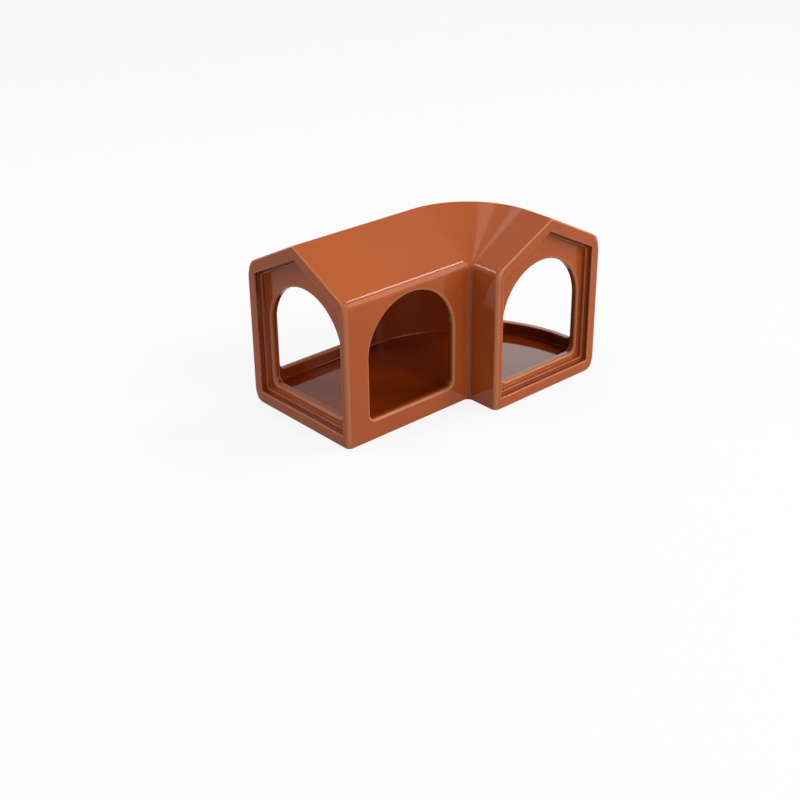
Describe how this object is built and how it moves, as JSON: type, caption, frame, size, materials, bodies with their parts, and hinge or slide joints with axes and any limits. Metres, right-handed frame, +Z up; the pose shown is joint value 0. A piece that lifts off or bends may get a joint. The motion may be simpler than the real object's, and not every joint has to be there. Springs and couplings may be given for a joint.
{
  "type": "small pet house",
  "caption": "Glazed ceramic tunnel house for a small pet: a gabled hall and a gabled porch joined in a right-angle bend, with arched doors in the gables and side walls.",
  "frame": {"origin": "centre of the plan's bounding box, on the ground that the house stands on", "axes": "+X from the hall's gable towards the bend, along the longest side; +Y from the porch's gable to the back wall; +Z up"},
  "size_m": [0.173, 0.106, 0.105],
  "materials": {
    "glazed_clay": "glossy terracotta-brown glaze, lighter where it breaks over the edges and darker inside"
  },
  "bodies": {
    "root": {"floor_slab": "glazed_clay", "hall_front_wall": "glazed_clay", "hall_back_wall": "glazed_clay", "corner_post": "glazed_clay", "porch_wall": "glazed_clay", "bend_wall": "glazed_clay", "hall_roof_front": "glazed_clay", "hall_roof_back": "glazed_clay", "bend_roof": "glazed_clay", "porch_roof_inner": "glazed_clay", "porch_roof_outer": "glazed_clay", "hall_gable_rim": "glazed_clay", "hall_gable_step": "glazed_clay", "hall_gable_panel": "glazed_clay", "porch_gable_rim": "glazed_clay", "porch_gable_step": "glazed_clay", "porch_gable_panel": "glazed_clay"}
  },
  "joints": []
}
